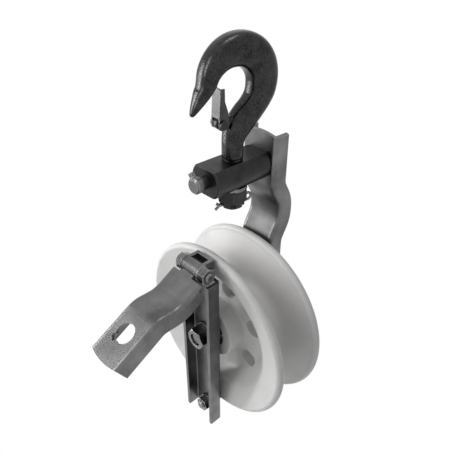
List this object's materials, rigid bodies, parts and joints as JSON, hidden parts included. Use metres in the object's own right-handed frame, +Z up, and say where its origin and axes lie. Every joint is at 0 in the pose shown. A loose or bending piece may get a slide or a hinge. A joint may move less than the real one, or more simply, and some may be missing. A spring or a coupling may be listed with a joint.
{
  "type": "stringing block",
  "caption": "Openable stringing block: a grooved nylon sheave on ball bearings in a pressed steel frame, hung from a swivel hook, with a hinged gate arm for laying in a cable.",
  "frame": {"origin": "crown of the hook's bowl, where the block hangs from its support", "axes": "+Z up; +Y along the axle towards the fixed rear arm; -Y towards the hinged gate arm; +X along the cable's run"},
  "size_m": [0.17, 0.1858, 0.357],
  "materials": {
    "forged_steel": "galvanised forging, rough",
    "zinc_steel": "zinc-plated pressed steel, satin",
    "dark_steel": "turned steel, oiled",
    "spring_steel": "spring steel, dark",
    "bearing_steel": "ground",
    "nylon": "cast nylon, satin"
  },
  "bodies": {
    "hook": {"hook": "forged_steel", "thrust_washer": "zinc_steel", "castle_nut": "dark_steel", "split_pin": "zinc_steel", "latch_rivet": "dark_steel"},
    "latch": {"latch": "zinc_steel", "latch_spring": "spring_steel"},
    "crosshead": {"crosshead": "dark_steel", "lock_pin": "zinc_steel", "trunnion_washer": "zinc_steel", "trunnion_clip": "spring_steel"},
    "frame": {"rear_arm": "zinc_steel", "front_cheek": "zinc_steel", "hinge_bolt": "dark_steel", "hinge_nut": "zinc_steel", "hinge_washers": "zinc_steel", "bearing_inner_races": "bearing_steel", "axle_bolt": "zinc_steel", "axle_nut": "zinc_steel", "axle_washers": "zinc_steel", "axle_sleeve": "zinc_steel", "axle_collars": "zinc_steel", "tie_bolt": "zinc_steel", "tie_nut": "zinc_steel", "tie_washers": "zinc_steel", "tie_tube": "zinc_steel"},
    "sheave_wheel": {"sheave": "nylon", "bearing_outer_races": "bearing_steel", "bearing_balls": "bearing_steel", "bearing_clips": "spring_steel"},
    "gate": {"gate_arm": "zinc_steel"}
  },
  "joints": [
    {"name": "hook_swivel", "type": "hinge", "parent": "hook", "child": "crosshead", "pos_m": [0, 0, -0.0785], "axis": [0, 0, 1], "continuous": true},
    {"name": "crosshead_swing", "type": "hinge", "parent": "crosshead", "child": "frame", "pos_m": [0, 0, -0.0785], "axis": [0, 1, 0], "range_deg": [-110, 110]},
    {"name": "sheave_spin", "type": "hinge", "parent": "frame", "child": "sheave_wheel", "pos_m": [0, 0, -0.23], "axis": [0, 1, 0], "continuous": true},
    {"name": "gate_swing", "type": "hinge", "parent": "frame", "child": "gate", "pos_m": [0, -0.041, -0.151], "axis": [-1, 0, 0], "range_deg": [0, 120]},
    {"name": "latch_hinge", "type": "hinge", "parent": "hook", "child": "latch", "pos_m": [-0.0016, -0.01139, -0.038], "axis": [-0.9903, 0.1392, 0], "range_deg": [0, 28], "stiffness_Nm_per_rad": 0.02, "springref_deg": -34.38}
  ]
}
